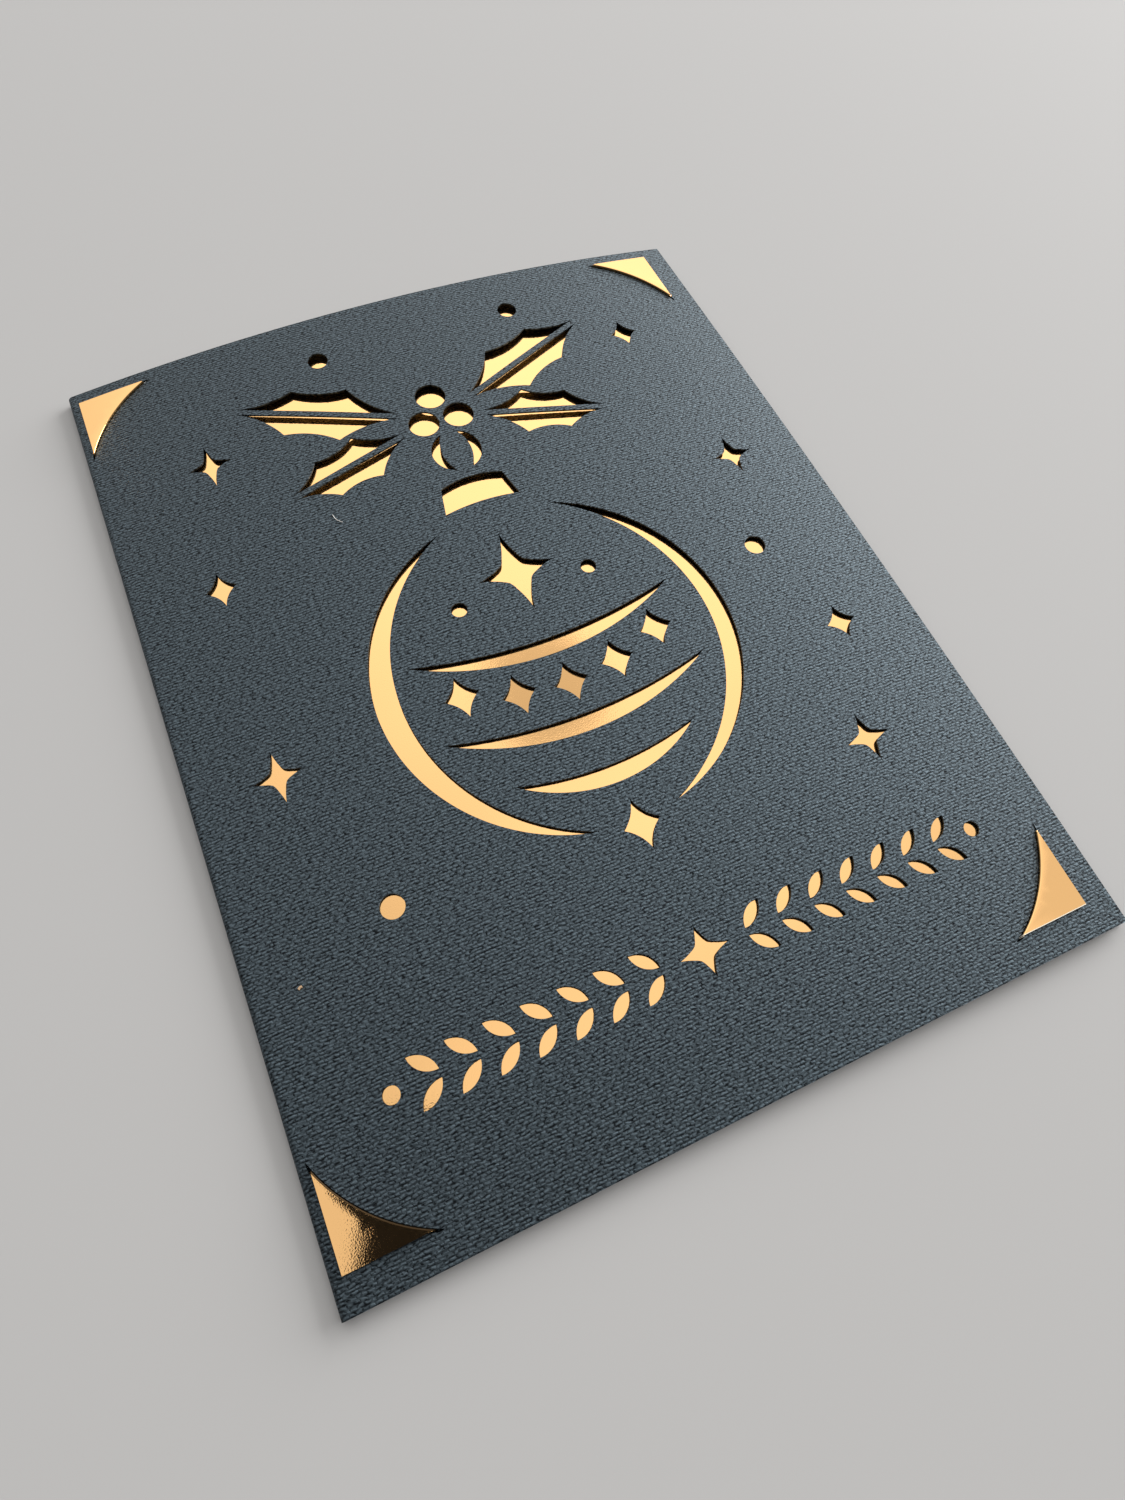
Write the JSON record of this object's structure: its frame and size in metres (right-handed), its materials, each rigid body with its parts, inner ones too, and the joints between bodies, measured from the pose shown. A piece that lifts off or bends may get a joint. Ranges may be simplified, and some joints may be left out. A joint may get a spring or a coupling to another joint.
{
  "type": "greeting card",
  "caption": "Folded black greeting card whose bowed front has cut-out figures, over a gold foil sheet held by its corners in slits.",
  "frame": {"origin": "centre of the card's outline, in the plane of the back panel's underside", "axes": "+Y up the card towards its top edge, +X away from the fold, +Z out of the front"},
  "size_m": [0.108, 0.1396, 0.0051],
  "materials": {
    "black_card": "black card with a fine linen emboss",
    "gold_foil": "mirror gold foil on white board"
  },
  "bodies": {
    "root": {"card_blank": "black_card", "foil_insert": "gold_foil"}
  },
  "joints": []
}
